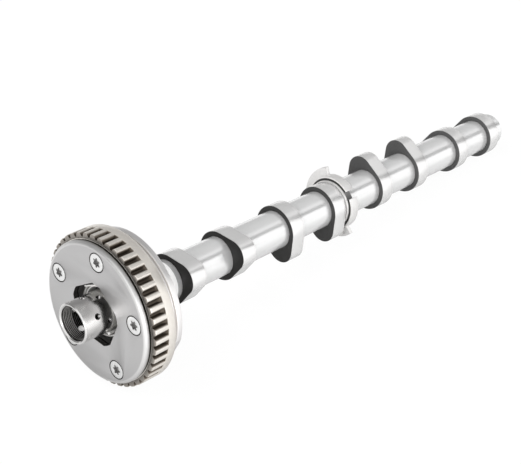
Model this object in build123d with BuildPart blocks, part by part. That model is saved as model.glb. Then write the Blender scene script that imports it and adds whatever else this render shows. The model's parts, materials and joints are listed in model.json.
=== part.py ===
from build123d import *
from math import acos, atan2, cos, degrees, radians, sin, tan
import os

os.makedirs("parts", exist_ok=True)

# A four-cylinder assembled camshaft with its vane-type cam phaser, lying at rest on the sprocket
# and on the rearmost lobe. Millimetres, +Z up. The shaft runs from the front (-Y) to the rear (+Y).
# A station is a distance along the shaft behind the tip of its nose. A cam angle is counted
# counter-clockwise as seen from the front, from the nose direction of the first cylinder's lobes.

# Shaft tube and its end pieces
tube_radius = 12.0
tube_bore = 9.0
tube_front_chamfer = 0.4
tube_rear_chamfer = 0.8
rear_stub = 10.0
rear_journal_radius = 11.75
tube_lap = 1.0
plug_length = 6.0
plug_wall = 1.4
plug_depth = 0.6

# Nose piece, bored for the control valve
nose_radius = 11.57
nose_reach = 15.0
nose_chamfer = 0.5
thread_radius = 9.85
thread_length = 7.0
thread_chamfer = 0.6
relief_radius = 9.4
relief_end = 17.5
valve_bore = 9.0
valve_bore_end = 38.0
feed_radius = 5.5
spigot_length = 18.0
front_port_station = 9.0
front_port_radius = 1.75
front_port_angle = 4.0
second_port_station = 15.7
second_port_radius = 1.4
second_port_angle = -20.0

# Cam lobes
cylinder_pitch = 88.0
cylinder_count = 4
lobe_spacing = 39.6
lobe_width = 11.0
lobe_base_radius = 15.2
lobe_lift = 6.3
lobe_nose_radius = 9.4
lobe_chamfer = 0.4
first_lobe_gap = 26.0
lobe_angles = [0.0, -90.0, 90.0, 180.0]

# Sensor ring behind the fourth lobe
sensor_gap = 0.4
sensor_collar_radius = 15.6
sensor_collar_length = 1.6
sensor_hub_radius = 18.0
sensor_hub_length = 6.5
sensor_blade_radius = 23.3
sensor_blade_thickness = 2.5
sensor_blade_setback = 2.9
sensor_long_blade = (85.0, 169.0)
sensor_short_blade = (-118.0, -71.0)
sensor_slot_angle = 13.0
sensor_slot_width = 5.2
sensor_slot_depth = 4.0
sensor_hole_angle = -84.0
sensor_hole_circle = 20.7
sensor_hole_radius = 0.9

# Phaser covers
chamber_count = 5
web_angle = -11.5
front_cover_thickness = 3.5
front_cover_radius = 40.6
front_cover_chamfer = 1.6
front_cover_chamfer_depth = 1.0
opening_radius = 18.3
opening_flat = 16.5
rear_cover_thickness = 6.4
rear_cover_radius = 40.3
rear_cover_step_radius = 38.7
rear_cover_step = 2.7
rear_cover_chamfer = 0.5
rear_cover_flat = 38.9
rear_cover_flat_angle = -53.0
journal_clearance = 0.05

# Cover screws
screw_circle = 32.2
screw_radius = 3.0
screw_hole_clearance = 0.1
screw_web_clearance = 0.3
screw_head_radius = 5.1
countersink_radius = 5.5
screw_tail = 1.0
star_points = 6
star_radius = 2.9
star_waist = 1.9
star_depth = 1.8

# Sprocket and stator, in one piece
stator_depth = 16.1
land_radius = 39.6
front_groove = 0.6
rear_groove = 1.0
tooth_count = 45
tooth_tip_radius = 44.2
tooth_depth = 2.4
tooth_tip_share = 0.45
tooth_root_share = 0.85
tooth_seat = 0.4
tooth_length = 5.9
tooth_runout = 3.0
shoulder_chamfer = 1.2
shoulder_chamfer_length = 1.1
chamber_radius = 36.0
web_half_angle = 12.5

# Rotor
hub_radius = 22.0
vane_half_angle = 5.5
wide_vane_half_angle = 10.5
wide_vane = 2
vane_stop_gap = 0.5
side_gap = 0.15
tip_gap = 0.4
spring_recess_radius = 19.0
spring_recess_depth = 8.0
drilling_radius = 1.0
advance_drilling_station = 29.0
retard_drilling_station = 32.0
drilling_flank_angle = 5.0

# Sliding seals in the vane tips and web tips, each on a bowed leaf spring
seal_groove_depth = 3.0
seal_groove_width = 1.7
seal_width = 1.5
seal_height = 2.3
seal_gap = 0.2
leaf_thickness = 0.25
leaf_end_gap = 1.2

# Lock pin in the wide vane, drawn back from its seat in the rear cover
lock_circle = 27.8
lock_bore_radius = 3.6
lock_pin_radius = 3.5
lock_pin_length = 7.2
lock_pin_chamfer = 0.6
lock_drawn_back = 0.3
lock_spring_bore = 2.4
lock_spring_bore_depth = 4.6
lock_spring_radius = 1.8
lock_spring_wire = 0.3
lock_cap_thickness = 2.0
lock_vent_radius = 0.6
lock_seat_inner = 3.8
lock_seat_wall = 1.0
lock_seat_depth = 3.0

# Return spring, a wound flat strip between the rotor and the front cover
strip_thickness = 0.9
strip_front = 20.0
strip_width = 5.5
strip_start_angle = 655.0
strip_end_angle = 101.0
strip_start_radius = 12.9
strip_end_radius = 15.55
leg_front = 16.2
leg_end_angle = 63.0
leg_end_radius = 17.4
tang_width = 2.4
tang_thickness = 1.3
tang_depth = 2.5
tang_clearance = 0.3

# Stations along the shaft
cover_station = nose_reach
stator_station = cover_station + front_cover_thickness
tooth_station = stator_station + front_groove
runout_station = tooth_station + tooth_length
shoulder_station = runout_station + tooth_runout
rear_cover_station = stator_station + stator_depth
chamfer_end = rear_cover_station - rear_groove
shoulder_end = chamfer_end - shoulder_chamfer_length
rear_cover_end = rear_cover_station + rear_cover_thickness
rotor_station = stator_station + side_gap
rotor_end = rear_cover_station - side_gap
rotor_depth = rotor_end - rotor_station
recess_floor = rotor_station + spring_recess_depth
tube_station = rear_cover_end - tube_lap
first_lobe_station = rear_cover_end + first_lobe_gap
lobe_stations = [
    first_lobe_station + cylinder * cylinder_pitch + pair * lobe_spacing
    for cylinder in range(cylinder_count)
    for pair in range(2)
]
last_lobe_end = lobe_stations[-1] + lobe_width
tube_end = last_lobe_end + rear_stub
collar_station = lobe_stations[3] + lobe_width + sensor_gap
sensor_station = collar_station + sensor_collar_length
sensor_end = sensor_station + sensor_hub_length
blade_end = sensor_station + sensor_blade_setback + sensor_blade_thickness

# Angles and radii that follow
lobe_nose_offset = lobe_base_radius + lobe_lift - lobe_nose_radius
lobe_flank_angle = degrees(acos((lobe_base_radius - lobe_nose_radius) / lobe_nose_offset))
chamber_pitch = 360.0 / chamber_count
vane_angle = web_angle + chamber_pitch - web_half_angle - vane_stop_gap - wide_vane_half_angle
lock_angle = vane_angle + wide_vane * chamber_pitch
tooth_root_radius = tooth_tip_radius - tooth_depth
web_tip_radius = hub_radius + tip_gap
vane_tip_radius = chamber_radius - tip_gap
journal_bore = tube_radius + journal_clearance

# The shaft lies on the rear edge of the sprocket's shoulder and on the straight flank of the
# rearmost lobe, which tilts it down towards the rear and sets its roll
tilt = atan2(tooth_tip_radius - lobe_base_radius, last_lobe_end - lobe_chamfer - shoulder_end)
roll = 270.0 - lobe_angles[-1] - lobe_flank_angle
to_rear = Vector(0, cos(tilt), -sin(tilt))
nose_height = tooth_tip_radius * cos(tilt) + shoulder_end * sin(tilt)
tube_rim_radius = rear_journal_radius - tube_rear_chamfer
nose_rim_radius = nose_radius - nose_chamfer
half_length = (tube_end * cos(tilt) + (tube_rim_radius - nose_rim_radius) * sin(tilt)) / 2
nose_tip = Vector(0, -half_length, nose_height)


def axis_point(distance):
    """Point on the shaft's axis at a station."""
    return nose_tip + to_rear * distance


def outward(angle):
    """Direction square to the shaft at a cam angle."""
    turned = radians(angle + roll)
    return Vector(cos(turned), sin(turned) * sin(tilt), sin(turned) * cos(tilt))


def station(distance):
    """Plane across the shaft as seen from the front, with its x axis at cam angle 0."""
    return Plane(origin=axis_point(distance), x_dir=outward(0), z_dir=-to_rear)


def meridian(angle):
    """Plane through the shaft's axis: x is the radius at a cam angle, y is the station."""
    return Plane(origin=nose_tip, x_dir=outward(angle), z_dir=outward(angle).cross(to_rear))


def drilling(angle, distance):
    """Plane on the shaft's axis at a station, facing out at a cam angle."""
    return Plane(origin=axis_point(distance), x_dir=to_rear, z_dir=outward(angle))


def wedge(start, end, radius):
    """Corners of a fan from the axis that covers a circle of this radius from start to end."""
    steps = max(1, round((end - start) / 30))
    share = (end - start) / steps
    reach = radius / cos(radians(share / 2)) * 1.02
    turns = [radians(start + share * step) for step in range(steps + 1)]
    return [(0, 0)] + [(reach * cos(turn), reach * sin(turn)) for turn in turns]


def polar(radius, angle):
    """Point at a radius and a cam angle in a plane across the shaft."""
    return (radius * cos(radians(angle)), radius * sin(radians(angle)))


shaft_axis = Axis(nose_tip, to_rear)
vane_angles = [vane_angle + chamber_pitch * vane for vane in range(chamber_count)]
web_angles = [web_angle + chamber_pitch * web for web in range(chamber_count)]
vane_halves = [
    wide_vane_half_angle if vane == wide_vane else vane_half_angle for vane in range(chamber_count)
]

# Shaft tube, turned down a little past the last lobe for the rear journal
with BuildPart() as shaft_tube:
    with BuildSketch(meridian(0)):
        with BuildLine():
            Polyline(
                (tube_bore, tube_station),
                (tube_radius - tube_front_chamfer, tube_station),
                (tube_radius, tube_station + tube_front_chamfer),
                (tube_radius, last_lobe_end),
                (rear_journal_radius, last_lobe_end),
                (rear_journal_radius, tube_end - tube_rear_chamfer),
                (rear_journal_radius - tube_rear_chamfer, tube_end),
                (tube_bore, tube_end),
                close=True,
            )
        make_face()
    revolve(axis=shaft_axis)
shaft_tube.part.label = "shaft_tube"
export_step(shaft_tube.part, "parts/shaft_tube.step")

# Cup plug pressed into the rear of the tube
with BuildPart() as rear_plug:
    with BuildSketch(meridian(0)):
        with BuildLine():
            Polyline(
                (0, tube_end - plug_depth - plug_length),
                (tube_bore, tube_end - plug_depth - plug_length),
                (tube_bore, tube_end - plug_depth),
                (tube_bore - plug_wall, tube_end - plug_depth),
                (tube_bore - plug_wall, tube_end - plug_depth - plug_length + plug_wall),
                (0, tube_end - plug_depth - plug_length + plug_wall),
                close=True,
            )
        make_face()
    revolve(axis=shaft_axis)
rear_plug.part.label = "rear_plug"
export_step(rear_plug.part, "parts/rear_plug.step")

# Nose piece: it carries the rotor, takes the control valve and plugs into the tube
with BuildPart() as nose_piece:
    with BuildSketch(meridian(0)):
        with BuildLine():
            Polyline(
                (thread_radius + thread_chamfer, 0),
                (nose_radius - nose_chamfer, 0),
                (nose_radius, nose_chamfer),
                (nose_radius, rotor_end),
                (tube_radius, rotor_end),
                (tube_radius, tube_station),
                (tube_bore, tube_station),
                (tube_bore, tube_station + spigot_length),
                (feed_radius, tube_station + spigot_length),
                (feed_radius, valve_bore_end),
                (valve_bore, valve_bore_end),
                (valve_bore, relief_end),
                (relief_radius, relief_end),
                (relief_radius, thread_length),
                (thread_radius, thread_length),
                (thread_radius, thread_chamfer),
                close=True,
            )
        make_face()
    revolve(axis=shaft_axis)
    for port in range(chamber_count):
        with BuildSketch(drilling(front_port_angle + chamber_pitch * port, front_port_station)):
            Circle(front_port_radius)
        extrude(amount=nose_radius + 1, mode=Mode.SUBTRACT)
        with BuildSketch(drilling(second_port_angle + chamber_pitch * port, second_port_station)):
            Circle(second_port_radius)
        extrude(amount=nose_radius + 1, mode=Mode.SUBTRACT)
    for angle, half in zip(vane_angles, vane_halves):
        with BuildSketch(drilling(angle + half + drilling_flank_angle, advance_drilling_station)):
            Circle(drilling_radius)
        extrude(amount=nose_radius + 1, mode=Mode.SUBTRACT)
        with BuildSketch(drilling(angle - half - drilling_flank_angle, retard_drilling_station)):
            Circle(drilling_radius)
        extrude(amount=nose_radius + 1, mode=Mode.SUBTRACT)
nose_piece.part.label = "nose_piece"
export_step(nose_piece.part, "parts/nose_piece.step")

# Cam lobes, two to a cylinder, pressed on the tube
for number, lobe_station in enumerate(lobe_stations):
    with BuildPart() as lobe:
        with BuildSketch(station(lobe_station + lobe_width)):
            Circle(lobe_base_radius)
            with PolarLocations(lobe_nose_offset, 1, start_angle=lobe_angles[number // 2]):
                Circle(lobe_nose_radius)
            make_hull()
            Circle(tube_radius, mode=Mode.SUBTRACT)
        extrude(amount=lobe_width)
        lobe_faces = lobe.faces().filter_by(GeomType.PLANE).sort_by(shaft_axis)
        rims = lobe_faces[0].outer_wire().edges() + lobe_faces[-1].outer_wire().edges()
        chamfer(rims, lobe_chamfer)
    lobe.part.label = f"lobe_{number + 1}"
    export_step(lobe.part, f"parts/lobe_{number + 1}.step")

# Sensor ring: a collar and a slotted hub with one long and one short blade for the position sensor
with BuildPart() as sensor_ring:
    with BuildSketch(station(sensor_end)):
        Circle(sensor_hub_radius)
        with PolarLocations(
            sensor_hub_radius - sensor_slot_depth, 1, start_angle=sensor_slot_angle
        ):
            Rectangle(
                2 * sensor_slot_depth,
                sensor_slot_width,
                align=(Align.MIN, Align.CENTER),
                mode=Mode.SUBTRACT,
            )
        Circle(tube_radius, mode=Mode.SUBTRACT)
    extrude(amount=sensor_hub_length)
    with BuildSketch(station(blade_end)):
        for start, end in (sensor_long_blade, sensor_short_blade):
            Polygon(*wedge(start, end, sensor_blade_radius), align=None)
        Circle(sensor_blade_radius, mode=Mode.INTERSECT)
        Circle((tube_radius + sensor_hub_radius) / 2, mode=Mode.SUBTRACT)
        with PolarLocations(sensor_hole_circle, 1, start_angle=sensor_hole_angle):
            Circle(sensor_hole_radius, mode=Mode.SUBTRACT)
    extrude(amount=sensor_blade_thickness)
    with BuildSketch(station(sensor_station)):
        Circle(sensor_collar_radius)
        Circle(tube_radius, mode=Mode.SUBTRACT)
    extrude(amount=sensor_collar_length)
sensor_ring.part.label = "sensor_ring"
export_step(sensor_ring.part, "parts/sensor_ring.step")

# Front cover with the five-lobed opening round the nose
with BuildPart() as front_cover:
    with BuildSketch(station(stator_station)):
        Circle(front_cover_radius)
    extrude(amount=front_cover_thickness)
    front_face = front_cover.faces().filter_by(GeomType.PLANE).sort_by(shaft_axis)[0]
    chamfer(
        front_face.outer_wire().edges(),
        front_cover_chamfer_depth,
        front_cover_chamfer,
        reference=front_face,
    )
    with BuildSketch(station(stator_station)):
        with Locations(Rot(0, 0, web_angle)):
            RegularPolygon(opening_flat, chamber_count, major_radius=False)
        Circle(opening_radius, mode=Mode.INTERSECT)
    extrude(amount=front_cover_thickness, mode=Mode.SUBTRACT)
    with Locations(station(cover_station)):
        with PolarLocations(screw_circle, chamber_count, start_angle=web_angle):
            CounterSinkHole(screw_radius + screw_hole_clearance, countersink_radius)
front_cover.part.label = "front_cover"
export_step(front_cover.part, "parts/front_cover.step")

# Sprocket ring: a turned blank with a polar pattern of teeth, and the stator's five chambers
with BuildPart() as sprocket_ring:
    with BuildSketch(meridian(0)):
        with BuildLine():
            Polyline(
                (0, stator_station),
                (land_radius, stator_station),
                (land_radius, tooth_station),
                (tooth_root_radius, tooth_station),
                (tooth_root_radius, runout_station),
                (tooth_tip_radius, shoulder_station),
                (tooth_tip_radius, shoulder_end),
                (tooth_tip_radius - shoulder_chamfer, chamfer_end),
                (land_radius, chamfer_end),
                (land_radius, rear_cover_station),
                (0, rear_cover_station),
                close=True,
            )
        make_face()
    revolve(axis=shaft_axis)
    tooth_pitch = radians(360 / tooth_count)
    tooth_top_half = tooth_tip_radius * tan(tooth_pitch * tooth_tip_share / 2)
    tooth_foot_half = tooth_root_radius * tan(tooth_pitch * tooth_root_share / 2)
    with BuildSketch(station(shoulder_station)):
        with PolarLocations(tooth_root_radius, tooth_count):
            Polygon(
                (0, -tooth_foot_half),
                (tooth_depth, -tooth_top_half),
                (tooth_depth, tooth_top_half),
                (0, tooth_foot_half),
                (-tooth_seat, tooth_foot_half),
                (-tooth_seat, -tooth_foot_half),
                align=None,
            )
        Circle(tooth_tip_radius, mode=Mode.INTERSECT)
    extrude(amount=tooth_length + tooth_runout)
    with BuildSketch(station(rear_cover_station)):
        Circle(chamber_radius)
        for angle in web_angles:
            Polygon(
                *wedge(angle - web_half_angle, angle + web_half_angle, chamber_radius),
                align=None,
                mode=Mode.SUBTRACT,
            )
        Circle(web_tip_radius)
        with PolarLocations(
            web_tip_radius + seal_groove_depth, chamber_count, start_angle=web_angle
        ):
            Rectangle(
                2 * seal_groove_depth, seal_groove_width, align=(Align.MAX, Align.CENTER)
            )
        with PolarLocations(screw_circle, chamber_count, start_angle=web_angle):
            Circle(screw_radius + screw_web_clearance)
    extrude(amount=stator_depth, mode=Mode.SUBTRACT)
sprocket_ring.part.label = "sprocket_ring"
export_step(sprocket_ring.part, "parts/sprocket_ring.step")

# Rear cover: stepped down behind the sprocket, it runs on the shaft, takes the screws and holds
# the lock seat
with BuildPart() as rear_cover:
    with BuildSketch(station(rear_cover_end)):
        Circle(rear_cover_radius)
        with PolarLocations(rear_cover_flat, 1, start_angle=rear_cover_flat_angle):
            Rectangle(
                rear_cover_radius,
                2 * rear_cover_radius,
                align=(Align.MIN, Align.CENTER),
                mode=Mode.SUBTRACT,
            )
    extrude(amount=rear_cover_thickness - rear_cover_step)
    cover_faces = rear_cover.faces().filter_by(GeomType.PLANE).sort_by(shaft_axis)
    chamfer(cover_faces[0].edges() + cover_faces[-1].edges(), rear_cover_chamfer)
    with BuildSketch(station(rear_cover_station + rear_cover_step)):
        Circle(rear_cover_step_radius)
    extrude(amount=rear_cover_step)
    with BuildSketch(station(rear_cover_end)):
        Circle(journal_bore)
        with PolarLocations(screw_circle, chamber_count, start_angle=web_angle):
            Circle(screw_radius)
    extrude(amount=rear_cover_thickness, mode=Mode.SUBTRACT)
    with BuildSketch(station(rear_cover_station + lock_seat_depth)):
        with PolarLocations(lock_circle, 1, start_angle=lock_angle):
            Circle(lock_seat_inner + lock_seat_wall)
    extrude(amount=lock_seat_depth, mode=Mode.SUBTRACT)
rear_cover.part.label = "rear_cover"
export_step(rear_cover.part, "parts/rear_cover.step")

# Hardened seat bush for the lock pin
with BuildPart() as lock_seat:
    with BuildSketch(station(rear_cover_station + lock_seat_depth)):
        with PolarLocations(lock_circle, 1, start_angle=lock_angle):
            Circle(lock_seat_inner + lock_seat_wall)
            Circle(lock_seat_inner, mode=Mode.SUBTRACT)
    extrude(amount=lock_seat_depth)
lock_seat.part.label = "lock_seat"
export_step(lock_seat.part, "parts/lock_seat.step")

# Five countersunk screws through the front cover and the webs into the rear cover
with BuildPart() as cover_screws:
    star = [
        polar(star_waist if corner % 2 else star_radius, corner * 180 / star_points)
        for corner in range(2 * star_points)
    ]
    head_drop = countersink_radius - screw_head_radius
    cone_end = cover_station + countersink_radius - screw_radius
    for angle in web_angles:
        centre = axis_point(0) + outward(angle) * screw_circle
        with BuildSketch(Plane(origin=centre, x_dir=outward(angle), z_dir=outward(angle).cross(to_rear))):
            with BuildLine():
                Polyline(
                    (0, cover_station),
                    (screw_head_radius, cover_station),
                    (screw_head_radius, cover_station + head_drop),
                    (screw_radius, cone_end),
                    (screw_radius, rear_cover_end - screw_tail),
                    (0, rear_cover_end - screw_tail),
                    close=True,
                )
            make_face()
        revolve(axis=Axis(centre, to_rear))
    with BuildSketch(station(cover_station + star_depth)):
        with PolarLocations(screw_circle, chamber_count, start_angle=web_angle):
            Polygon(*star, align=None)
    extrude(amount=star_depth, mode=Mode.SUBTRACT)
cover_screws.part.label = "cover_screws"
export_step(cover_screws.part, "parts/cover_screws.step")

# Rotor: a hub with four narrow vanes and a wide one, pressed on the nose piece
with BuildPart() as rotor:
    with BuildSketch(station(rotor_end)):
        Circle(hub_radius)
        for angle, half in zip(vane_angles, vane_halves):
            Polygon(*wedge(angle - half, angle + half, vane_tip_radius), align=None)
        Circle(vane_tip_radius, mode=Mode.INTERSECT)
        Circle(nose_radius, mode=Mode.SUBTRACT)
        with PolarLocations(
            vane_tip_radius - seal_groove_depth, chamber_count, start_angle=vane_angle
        ):
            Rectangle(
                2 * seal_groove_depth,
                seal_groove_width,
                align=(Align.MIN, Align.CENTER),
                mode=Mode.SUBTRACT,
            )
        with PolarLocations(lock_circle, 1, start_angle=lock_angle):
            Circle(lock_bore_radius, mode=Mode.SUBTRACT)
    extrude(amount=rotor_depth)
    with BuildSketch(station(recess_floor)):
        Circle(spring_recess_radius)
        Circle(nose_radius, mode=Mode.SUBTRACT)
    extrude(amount=spring_recess_depth, mode=Mode.SUBTRACT)
    with BuildSketch(station(recess_floor + tang_depth + tang_clearance)):
        with PolarLocations(strip_start_radius, 1, start_angle=strip_start_angle):
            Rectangle(tang_thickness + 2 * tang_clearance, tang_width + 2 * tang_clearance)
    extrude(amount=tang_depth + tang_clearance, mode=Mode.SUBTRACT)
    for angle, half in zip(vane_angles, vane_halves):
        with BuildSketch(drilling(angle + half + drilling_flank_angle, advance_drilling_station)):
            Circle(drilling_radius)
        extrude(amount=hub_radius + 1, mode=Mode.SUBTRACT)
        with BuildSketch(drilling(angle - half - drilling_flank_angle, retard_drilling_station)):
            Circle(drilling_radius)
        extrude(amount=hub_radius + 1, mode=Mode.SUBTRACT)
rotor.part.label = "rotor"
export_step(rotor.part, "parts/rotor.step")

# Seals in the vane tips and their leaf springs, bowed out against the seals
vane_groove_floor = vane_tip_radius - seal_groove_depth
vane_seal_top = chamber_radius - seal_gap
with BuildPart() as vane_seals:
    with BuildSketch(station(rotor_end)):
        with PolarLocations(vane_seal_top, chamber_count, start_angle=vane_angle):
            Rectangle(seal_height, seal_width, align=(Align.MAX, Align.CENTER))
    extrude(amount=rotor_depth)
vane_seals.part.label = "vane_seals"
export_step(vane_seals.part, "parts/vane_seals.step")

leaf_front = rotor_station + leaf_end_gap
leaf_end = rotor_end - leaf_end_gap
leaf_middle = (leaf_front + leaf_end) / 2
with BuildPart() as vane_seal_springs:
    crown = vane_seal_top - seal_height
    for angle in vane_angles:
        with BuildSketch(meridian(angle)):
            with BuildLine():
                ThreePointArc(
                    (vane_groove_floor, leaf_front),
                    (crown - leaf_thickness, leaf_middle),
                    (vane_groove_floor, leaf_end),
                )
                Line((vane_groove_floor, leaf_end), (vane_groove_floor + leaf_thickness, leaf_end))
                ThreePointArc(
                    (vane_groove_floor + leaf_thickness, leaf_end),
                    (crown, leaf_middle),
                    (vane_groove_floor + leaf_thickness, leaf_front),
                )
                Line((vane_groove_floor + leaf_thickness, leaf_front), (vane_groove_floor, leaf_front))
            make_face()
        extrude(amount=seal_width / 2, both=True)
vane_seal_springs.part.label = "vane_seal_springs"
export_step(vane_seal_springs.part, "parts/vane_seal_springs.step")

# Seals in the web tips and their leaf springs, bowed in against the seals
web_groove_floor = web_tip_radius + seal_groove_depth
web_seal_bottom = hub_radius + seal_gap
with BuildPart() as web_seals:
    with BuildSketch(station(rear_cover_station)):
        with PolarLocations(web_seal_bottom, chamber_count, start_angle=web_angle):
            Rectangle(seal_height, seal_width, align=(Align.MIN, Align.CENTER))
    extrude(amount=stator_depth)
web_seals.part.label = "web_seals"
export_step(web_seals.part, "parts/web_seals.step")

with BuildPart() as web_seal_springs:
    crown = web_seal_bottom + seal_height
    for angle in web_angles:
        with BuildSketch(meridian(angle)):
            with BuildLine():
                ThreePointArc(
                    (web_groove_floor, leaf_front),
                    (crown + leaf_thickness, leaf_middle),
                    (web_groove_floor, leaf_end),
                )
                Line((web_groove_floor, leaf_end), (web_groove_floor - leaf_thickness, leaf_end))
                ThreePointArc(
                    (web_groove_floor - leaf_thickness, leaf_end),
                    (crown, leaf_middle),
                    (web_groove_floor - leaf_thickness, leaf_front),
                )
                Line((web_groove_floor - leaf_thickness, leaf_front), (web_groove_floor, leaf_front))
            make_face()
        extrude(amount=seal_width / 2, both=True)
web_seal_springs.part.label = "web_seal_springs"
export_step(web_seal_springs.part, "parts/web_seal_springs.step")

# Lock pin, its coil spring and the vented cap the spring stands on
pin_end = rotor_end - lock_drawn_back
pin_front = pin_end - lock_pin_length
with BuildPart() as lock_pin:
    with BuildSketch(station(pin_end)):
        with PolarLocations(lock_circle, 1, start_angle=lock_angle):
            Circle(lock_pin_radius)
    extrude(amount=lock_pin_length)
    pin_faces = lock_pin.faces().filter_by(GeomType.PLANE).sort_by(shaft_axis)
    chamfer(pin_faces[-1].edges(), lock_pin_chamfer)
    with BuildSketch(station(pin_front + lock_spring_bore_depth)):
        with PolarLocations(lock_circle, 1, start_angle=lock_angle):
            Circle(lock_spring_bore)
    extrude(amount=lock_spring_bore_depth, mode=Mode.SUBTRACT)
lock_pin.part.label = "lock_pin"
export_step(lock_pin.part, "parts/lock_pin.step")

with BuildPart() as lock_cap:
    with BuildSketch(station(rotor_station + lock_cap_thickness)):
        with PolarLocations(lock_circle, 1, start_angle=lock_angle):
            Circle(lock_bore_radius)
            Circle(lock_vent_radius, mode=Mode.SUBTRACT)
    extrude(amount=lock_cap_thickness)
lock_cap.part.label = "lock_cap"
export_step(lock_cap.part, "parts/lock_cap.step")

# The coil spring is a sleeve of its wire's outer and inner size, standing in the pin's bore
spring_front = rotor_station + lock_cap_thickness
spring_end = pin_front + lock_spring_bore_depth
with BuildPart() as lock_spring:
    with BuildSketch(station(spring_end)):
        with PolarLocations(lock_circle, 1, start_angle=lock_angle):
            Circle(lock_spring_radius + lock_spring_wire)
            Circle(lock_spring_radius - lock_spring_wire, mode=Mode.SUBTRACT)
    extrude(amount=spring_end - spring_front)
lock_spring.part.label = "lock_spring"
export_step(lock_spring.part, "parts/lock_spring.step")

# Return spring: an inner tang in the rotor's floor, one and a half turns, and a leg that ends in
# a rolled eye in the front cover's notch
strip_end = strip_front + strip_width
strip_turn = strip_start_angle - strip_end_angle
strip_arcs = 6


def strip_point(share, side):
    """Point on the wound strip, from its inner end to its outer end, on one side of its middle."""
    radius = strip_start_radius + share * (strip_end_radius - strip_start_radius)
    return polar(radius + side * strip_thickness / 2, strip_start_angle - share * strip_turn)


with BuildPart() as return_spring:
    with BuildSketch(station(strip_end)):
        with BuildLine():
            for side in (-1, 1):
                for arc in range(strip_arcs):
                    ThreePointArc(
                        strip_point(arc / strip_arcs, side),
                        strip_point((arc + 0.5) / strip_arcs, side),
                        strip_point((arc + 1) / strip_arcs, side),
                    )
            Line(strip_point(0, -1), strip_point(0, 1))
            Line(strip_point(1, -1), strip_point(1, 1))
        make_face()
    extrude(amount=strip_width)
    with BuildSketch(station(strip_end)):
        with BuildLine():
            leg = Line(polar(strip_end_radius, strip_end_angle), polar(leg_end_radius, leg_end_angle))
        trace(leg, strip_thickness)
        with Locations(polar(strip_end_radius, strip_end_angle)):
            Circle(strip_thickness / 2)
        with Locations(polar(leg_end_radius, leg_end_angle)):
            Circle(opening_radius - leg_end_radius)
    extrude(amount=strip_end - leg_front)
    with BuildSketch(station(recess_floor + tang_depth)):
        with PolarLocations(strip_start_radius, 1, start_angle=strip_start_angle):
            Rectangle(tang_thickness, tang_width)
    extrude(amount=recess_floor + tang_depth - leg_front)
return_spring.part.label = "return_spring"
export_step(return_spring.part, "parts/return_spring.step")
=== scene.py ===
import json
import logging
import math
from contextlib import contextmanager
from dataclasses import dataclass
from enum import Enum
from functools import cache
from typing import Callable, Iterable, Iterator, Union

import bpy
from mathutils import Euler, Matrix, Vector


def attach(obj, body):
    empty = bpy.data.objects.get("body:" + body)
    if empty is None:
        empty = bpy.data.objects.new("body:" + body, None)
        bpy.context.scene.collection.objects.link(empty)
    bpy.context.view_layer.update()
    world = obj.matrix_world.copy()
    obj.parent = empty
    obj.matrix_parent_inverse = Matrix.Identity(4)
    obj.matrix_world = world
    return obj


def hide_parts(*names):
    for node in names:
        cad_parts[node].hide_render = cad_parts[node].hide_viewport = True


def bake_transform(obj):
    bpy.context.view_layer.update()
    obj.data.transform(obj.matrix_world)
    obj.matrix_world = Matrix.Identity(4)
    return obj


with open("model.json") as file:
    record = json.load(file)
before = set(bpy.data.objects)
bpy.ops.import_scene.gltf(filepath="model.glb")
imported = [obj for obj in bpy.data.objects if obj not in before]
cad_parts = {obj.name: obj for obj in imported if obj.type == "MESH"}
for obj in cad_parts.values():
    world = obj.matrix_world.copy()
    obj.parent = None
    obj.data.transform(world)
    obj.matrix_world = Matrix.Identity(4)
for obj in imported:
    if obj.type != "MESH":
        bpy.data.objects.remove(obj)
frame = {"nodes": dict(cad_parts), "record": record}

log = logging.getLogger("camshaft")
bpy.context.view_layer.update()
MM = 0.001
MERGE = 0.002 * MM  # vertices closer than this are merged
FLAT = math.radians(0.5)  # edges flatter than this are dissolved
OVER = 1.0  # how far a cutter stands out of what it cuts, in millimetres

Piece = bpy.types.Object
Triple = tuple[float, float, float]
Colour = Triple
Row = tuple[float, float]
Number = Union[float, int, "Wire"]


class Shaft:
    """Places on the shaft's axis, which every finish and piece is laid out from.

    Stations are distances behind the tip of the nose. A cam angle is counted counter-clockwise
    as seen from the front, from the nose direction of the first cylinder's lobes.
    """

    HINGE = frame["record"]["behaviour"]["joints"][0]
    HINGE_STATION = 18.5 * MM
    ROLL = math.radians(28.642)
    TO_REAR = -Vector(HINGE["axis"]).normalized()
    NOSE_TIP = Vector(HINGE["pos_m"]) - TO_REAR * HINGE_STATION

    @classmethod
    def outward(cls, angle: float) -> Vector:
        """Unit vector square to the shaft at a cam angle in radians."""
        up = Vector((1, 0, 0)).cross(cls.TO_REAR)
        turned = angle + cls.ROLL
        return Vector((1, 0, 0)) * math.cos(turned) + up * math.sin(turned)

    @classmethod
    def placement(cls) -> Matrix:
        """Matrix that carries a piece modelled round its own Z axis onto the shaft.

        Returns:
            The matrix. Own Z points to the front and own X to the cam angle zero.
        """
        across = cls.outward(0.0)
        front = -cls.TO_REAR
        turn = Matrix((across, front.cross(across), front)).transposed().to_4x4()
        return Matrix.Translation(cls.NOSE_TIP) @ turn


def math_operator(operation: str, swapped: bool = False) -> Callable[["Wire", Number], "Wire"]:
    """Makes the method for one of Python's operators on a wire.

    Args:
        operation: The Math node's operation.
        swapped: Whether the other value stands on the left.

    Returns:
        The method.
    """

    def method(self: "Wire", other: Number) -> "Wire":
        """Adds the operator's Math node."""
        return self.calculate(operation, *((other, self) if swapped else (self, other)))

    return method


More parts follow.
